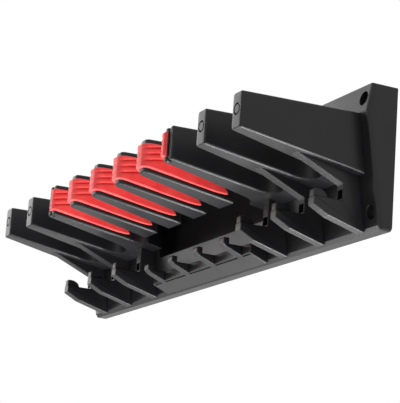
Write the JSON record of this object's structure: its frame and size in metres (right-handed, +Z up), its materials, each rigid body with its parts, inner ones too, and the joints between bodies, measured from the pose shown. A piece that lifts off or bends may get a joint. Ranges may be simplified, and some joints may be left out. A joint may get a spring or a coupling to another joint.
{
  "type": "clamp rack",
  "caption": "Wall rack with a row of tapered arms, hook plates below and soft ribbed grips, for hanging clamps and pliers.",
  "frame": {"origin": "on the wall plane, at the centre of the rectangle of the four screw holes", "axes": "+X along the length of the rack, to the right as seen from the front; +Y into the wall; +Z up"},
  "size_m": [0.394, 0.0916, 0.0826],
  "materials": {
    "black_plastic": "satin, finely textured moulded polypropylene",
    "red_grip": "soft, satin thermoplastic elastomer"
  },
  "bodies": {
    "root": {"back_body": "black_plastic", "arm_01": "black_plastic", "arm_02": "black_plastic", "arm_03": "black_plastic", "arm_04": "black_plastic", "arm_05": "black_plastic", "arm_06": "black_plastic", "arm_07": "black_plastic", "arm_08": "black_plastic", "arm_09": "black_plastic", "arm_10": "black_plastic", "hook_plate_1": "black_plastic", "hook_plate_2": "black_plastic", "hook_plate_3": "black_plastic", "hook_plate_4": "black_plastic", "hook_plate_5": "black_plastic", "hook_plate_6": "black_plastic", "small_hook_rail": "black_plastic", "small_hook_1": "black_plastic", "small_hook_2": "black_plastic", "small_hook_3": "black_plastic", "small_hook_4": "black_plastic", "grip_1": "red_grip", "grip_2": "red_grip", "grip_3": "red_grip", "grip_4": "red_grip", "grip_5": "red_grip", "grip_6": "red_grip"}
  },
  "joints": []
}
